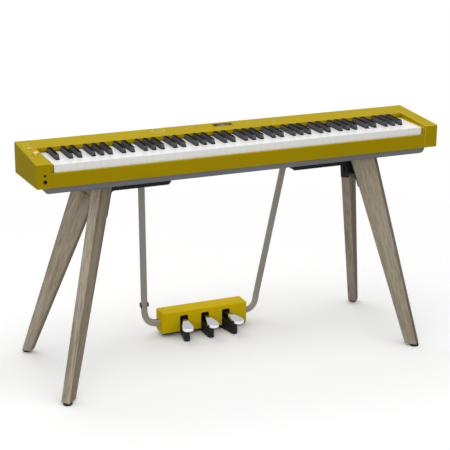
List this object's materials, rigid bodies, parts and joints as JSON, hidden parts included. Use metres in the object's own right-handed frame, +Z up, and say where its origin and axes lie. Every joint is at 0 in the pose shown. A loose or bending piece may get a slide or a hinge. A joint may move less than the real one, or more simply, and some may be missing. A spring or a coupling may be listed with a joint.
{
  "type": "digital piano on stand",
  "caption": "Slim digital piano with hinged keys on splayed wooden legs, with a hanging pedal box, sprung pedals, a volume knob and a power button",
  "frame": {"origin": "on the floor under the middle of the whole object's box", "axes": "+X along the keys towards the treble, +Y from the player to the back, +Z up"},
  "size_m": [1.34, 0.4786, 0.7662],
  "materials": {
    "case_mustard": "fine satin moulded plastic, mustard",
    "tray_grey": "fine textured grey plastic",
    "key_white": "smooth ivory white plastic",
    "key_black": "satin charcoal plastic",
    "trim_black": "black plastic",
    "felt_red": "pressed felt",
    "leg_wood": "oiled greyish oak, open grain",
    "bracket_black": "black powder coat",
    "bar_paint": "grey brown satin paint",
    "pedal_chrome": "polished chrome plate",
    "steel": "zinc plated sheet",
    "board_green": "solder mask on glass fibre board",
    "glide_rubber": "black rubber",
    "display_glass": "clear gloss over a dark display",
    "speaker_black": "paper cone and pressed frame",
    "button_white": "satin white plastic"
  },
  "bodies": {
    "case": {"end_block_left": "case_mustard", "end_block_right": "case_mustard", "key_slip": "case_mustard", "top_panel": "case_mustard", "bottom_tray": "tray_grey", "phones_sockets": "trim_black", "rear_sockets": "trim_black", "display": "display_glass", "main_board": "board_green", "speaker_left": "speaker_black", "speaker_right": "speaker_black", "key_frame": "steel", "key_felt": "felt_red", "pedal_box": "case_mustard", "pedal_base": "trim_black", "pedal_shaft": "steel", "pedal_bar_left": "bar_paint", "pedal_bar_right": "bar_paint", "bracket_left": "bracket_black", "bracket_right": "bracket_black", "pedal_lead": "glide_rubber", "lead_clip": "trim_black", "leg_front_left": "leg_wood", "glide_front_left": "glide_rubber", "leg_rear_left": "leg_wood", "glide_rear_left": "glide_rubber", "leg_front_right": "leg_wood", "glide_front_right": "glide_rubber", "leg_rear_right": "leg_wood", "glide_rear_right": "glide_rubber"},
    "b_key_a_low": {"key_a_low": "key_white"},
    "b_key_b_low": {"key_b_low": "key_white"},
    "b_key_c_high": {"key_c_high": "key_white"},
    "b_key_a_sharp_low": {"key_a_sharp_low": "key_black"},
    "b_keys_ceg_b_1": {"keys_ceg_b_1": "key_white"},
    "b_keys_dfa_1": {"keys_dfa_1": "key_white"},
    "b_keys_sharp_1": {"keys_sharp_1": "key_black"},
    "b_keys_ceg_b_2": {"keys_ceg_b_2": "key_white"},
    "b_keys_dfa_2": {"keys_dfa_2": "key_white"},
    "b_keys_sharp_2": {"keys_sharp_2": "key_black"},
    "b_keys_ceg_b_3": {"keys_ceg_b_3": "key_white"},
    "b_keys_dfa_3": {"keys_dfa_3": "key_white"},
    "b_keys_sharp_3": {"keys_sharp_3": "key_black"},
    "b_keys_ceg_b_4": {"keys_ceg_b_4": "key_white"},
    "b_keys_dfa_4": {"keys_dfa_4": "key_white"},
    "b_keys_sharp_4": {"keys_sharp_4": "key_black"},
    "b_keys_ceg_b_5": {"keys_ceg_b_5": "key_white"},
    "b_keys_dfa_5": {"keys_dfa_5": "key_white"},
    "b_keys_sharp_5": {"keys_sharp_5": "key_black"},
    "b_keys_ceg_b_6": {"keys_ceg_b_6": "key_white"},
    "b_keys_dfa_6": {"keys_dfa_6": "key_white"},
    "b_keys_sharp_6": {"keys_sharp_6": "key_black"},
    "b_keys_ceg_b_7": {"keys_ceg_b_7": "key_white"},
    "b_keys_dfa_7": {"keys_dfa_7": "key_white"},
    "b_keys_sharp_7": {"keys_sharp_7": "key_black"},
    "b_pedal_left": {"pedal_left": "pedal_chrome"},
    "b_pedal_middle": {"pedal_middle": "pedal_chrome"},
    "b_pedal_right": {"pedal_right": "pedal_chrome"},
    "b_volume_knob": {"volume_knob": "trim_black"},
    "b_power_button": {"power_button": "button_white"}
  },
  "joints": [
    {"name": "key_a_low_hinge", "type": "hinge", "parent": "case", "child": "b_key_a_low", "pos_m": [0, 0.0194, 0.7146], "axis": [1, 0, 0], "range_deg": [0, 2.8], "stiffness_Nm_per_rad": 1.3, "springref_deg": -4.58},
    {"name": "key_a_sharp_low_hinge", "type": "hinge", "parent": "case", "child": "b_key_a_sharp_low", "pos_m": [0, 0.0194, 0.7146], "axis": [1, 0, 0], "range_deg": [0, 3.3], "stiffness_Nm_per_rad": 1.5, "springref_deg": -4.58},
    {"name": "key_b_low_hinge", "type": "hinge", "parent": "case", "child": "b_key_b_low", "pos_m": [0, 0.0194, 0.7146], "axis": [1, 0, 0], "range_deg": [0, 2.8], "stiffness_Nm_per_rad": 1.3, "springref_deg": -4.58},
    {"name": "keys_ceg_b_1_hinge", "type": "hinge", "parent": "case", "child": "b_keys_ceg_b_1", "pos_m": [0, 0.0194, 0.7146], "axis": [1, 0, 0], "range_deg": [0, 2.8], "stiffness_Nm_per_rad": 5, "springref_deg": -4.58},
    {"name": "keys_dfa_1_hinge", "type": "hinge", "parent": "case", "child": "b_keys_dfa_1", "pos_m": [0, 0.0194, 0.7201], "axis": [1, 0, 0], "range_deg": [0, 2.8], "stiffness_Nm_per_rad": 4, "springref_deg": -4.58},
    {"name": "keys_sharp_1_hinge", "type": "hinge", "parent": "case", "child": "b_keys_sharp_1", "pos_m": [0, 0.0194, 0.7256], "axis": [1, 0, 0], "range_deg": [0, 3.3], "stiffness_Nm_per_rad": 6, "springref_deg": -4.58},
    {"name": "keys_ceg_b_2_hinge", "type": "hinge", "parent": "case", "child": "b_keys_ceg_b_2", "pos_m": [0, 0.0194, 0.7146], "axis": [1, 0, 0], "range_deg": [0, 2.8], "stiffness_Nm_per_rad": 5, "springref_deg": -4.58},
    {"name": "keys_dfa_2_hinge", "type": "hinge", "parent": "case", "child": "b_keys_dfa_2", "pos_m": [0, 0.0194, 0.7201], "axis": [1, 0, 0], "range_deg": [0, 2.8], "stiffness_Nm_per_rad": 4, "springref_deg": -4.58},
    {"name": "keys_sharp_2_hinge", "type": "hinge", "parent": "case", "child": "b_keys_sharp_2", "pos_m": [0, 0.0194, 0.7256], "axis": [1, 0, 0], "range_deg": [0, 3.3], "stiffness_Nm_per_rad": 6, "springref_deg": -4.58},
    {"name": "keys_ceg_b_3_hinge", "type": "hinge", "parent": "case", "child": "b_keys_ceg_b_3", "pos_m": [0, 0.0194, 0.7146], "axis": [1, 0, 0], "range_deg": [0, 2.8], "stiffness_Nm_per_rad": 5, "springref_deg": -4.58},
    {"name": "keys_dfa_3_hinge", "type": "hinge", "parent": "case", "child": "b_keys_dfa_3", "pos_m": [0, 0.0194, 0.7201], "axis": [1, 0, 0], "range_deg": [0, 2.8], "stiffness_Nm_per_rad": 4, "springref_deg": -4.58},
    {"name": "keys_sharp_3_hinge", "type": "hinge", "parent": "case", "child": "b_keys_sharp_3", "pos_m": [0, 0.0194, 0.7256], "axis": [1, 0, 0], "range_deg": [0, 3.3], "stiffness_Nm_per_rad": 6, "springref_deg": -4.58},
    {"name": "keys_ceg_b_4_hinge", "type": "hinge", "parent": "case", "child": "b_keys_ceg_b_4", "pos_m": [0, 0.0194, 0.7146], "axis": [1, 0, 0], "range_deg": [0, 2.8], "stiffness_Nm_per_rad": 5, "springref_deg": -4.58},
    {"name": "keys_dfa_4_hinge", "type": "hinge", "parent": "case", "child": "b_keys_dfa_4", "pos_m": [0, 0.0194, 0.7201], "axis": [1, 0, 0], "range_deg": [0, 2.8], "stiffness_Nm_per_rad": 4, "springref_deg": -4.58},
    {"name": "keys_sharp_4_hinge", "type": "hinge", "parent": "case", "child": "b_keys_sharp_4", "pos_m": [0, 0.0194, 0.7256], "axis": [1, 0, 0], "range_deg": [0, 3.3], "stiffness_Nm_per_rad": 6, "springref_deg": -4.58},
    {"name": "keys_ceg_b_5_hinge", "type": "hinge", "parent": "case", "child": "b_keys_ceg_b_5", "pos_m": [0, 0.0194, 0.7146], "axis": [1, 0, 0], "range_deg": [0, 2.8], "stiffness_Nm_per_rad": 5, "springref_deg": -4.58},
    {"name": "keys_dfa_5_hinge", "type": "hinge", "parent": "case", "child": "b_keys_dfa_5", "pos_m": [0, 0.0194, 0.7201], "axis": [1, 0, 0], "range_deg": [0, 2.8], "stiffness_Nm_per_rad": 4, "springref_deg": -4.58},
    {"name": "keys_sharp_5_hinge", "type": "hinge", "parent": "case", "child": "b_keys_sharp_5", "pos_m": [0, 0.0194, 0.7256], "axis": [1, 0, 0], "range_deg": [0, 3.3], "stiffness_Nm_per_rad": 6, "springref_deg": -4.58},
    {"name": "keys_ceg_b_6_hinge", "type": "hinge", "parent": "case", "child": "b_keys_ceg_b_6", "pos_m": [0, 0.0194, 0.7146], "axis": [1, 0, 0], "range_deg": [0, 2.8], "stiffness_Nm_per_rad": 5, "springref_deg": -4.58},
    {"name": "keys_dfa_6_hinge", "type": "hinge", "parent": "case", "child": "b_keys_dfa_6", "pos_m": [0, 0.0194, 0.7201], "axis": [1, 0, 0], "range_deg": [0, 2.8], "stiffness_Nm_per_rad": 4, "springref_deg": -4.58},
    {"name": "keys_sharp_6_hinge", "type": "hinge", "parent": "case", "child": "b_keys_sharp_6", "pos_m": [0, 0.0194, 0.7256], "axis": [1, 0, 0], "range_deg": [0, 3.3], "stiffness_Nm_per_rad": 6, "springref_deg": -4.58},
    {"name": "keys_ceg_b_7_hinge", "type": "hinge", "parent": "case", "child": "b_keys_ceg_b_7", "pos_m": [0, 0.0194, 0.7146], "axis": [1, 0, 0], "range_deg": [0, 2.8], "stiffness_Nm_per_rad": 5, "springref_deg": -4.58},
    {"name": "keys_dfa_7_hinge", "type": "hinge", "parent": "case", "child": "b_keys_dfa_7", "pos_m": [0, 0.0194, 0.7201], "axis": [1, 0, 0], "range_deg": [0, 2.8], "stiffness_Nm_per_rad": 4, "springref_deg": -4.58},
    {"name": "keys_sharp_7_hinge", "type": "hinge", "parent": "case", "child": "b_keys_sharp_7", "pos_m": [0, 0.0194, 0.7256], "axis": [1, 0, 0], "range_deg": [0, 3.3], "stiffness_Nm_per_rad": 6, "springref_deg": -4.58},
    {"name": "key_c_high_hinge", "type": "hinge", "parent": "case", "child": "b_key_c_high", "pos_m": [0, 0.0194, 0.7146], "axis": [1, 0, 0], "range_deg": [0, 2.8], "stiffness_Nm_per_rad": 1.3, "springref_deg": -4.58},
    {"name": "pedal_left_hinge", "type": "hinge", "parent": "case", "child": "b_pedal_left", "pos_m": [-0.0774, 0.1994, 0.064], "axis": [1, 0, 0], "range_deg": [0, 6], "stiffness_Nm_per_rad": 12, "springref_deg": -2.29},
    {"name": "pedal_middle_hinge", "type": "hinge", "parent": "case", "child": "b_pedal_middle", "pos_m": [0, 0.1994, 0.064], "axis": [1, 0, 0], "range_deg": [0, 6], "stiffness_Nm_per_rad": 12, "springref_deg": -2.29},
    {"name": "pedal_right_hinge", "type": "hinge", "parent": "case", "child": "b_pedal_right", "pos_m": [0.0774, 0.1994, 0.064], "axis": [1, 0, 0], "range_deg": [0, 6], "stiffness_Nm_per_rad": 12, "springref_deg": -2.29},
    {"name": "volume_turn", "type": "hinge", "parent": "case", "child": "b_volume_knob", "pos_m": [-0.643, -0.0956, 0.75691], "axis": [0, -0.0561, 0.9984], "range_deg": [-145, 145]},
    {"name": "power_press", "type": "slide", "parent": "case", "child": "b_power_button", "axis": [0, 0.0561, -0.9984], "range_m": [0, 0.0015], "stiffness_N_per_m": 800, "springref_m": -0.001}
  ]
}
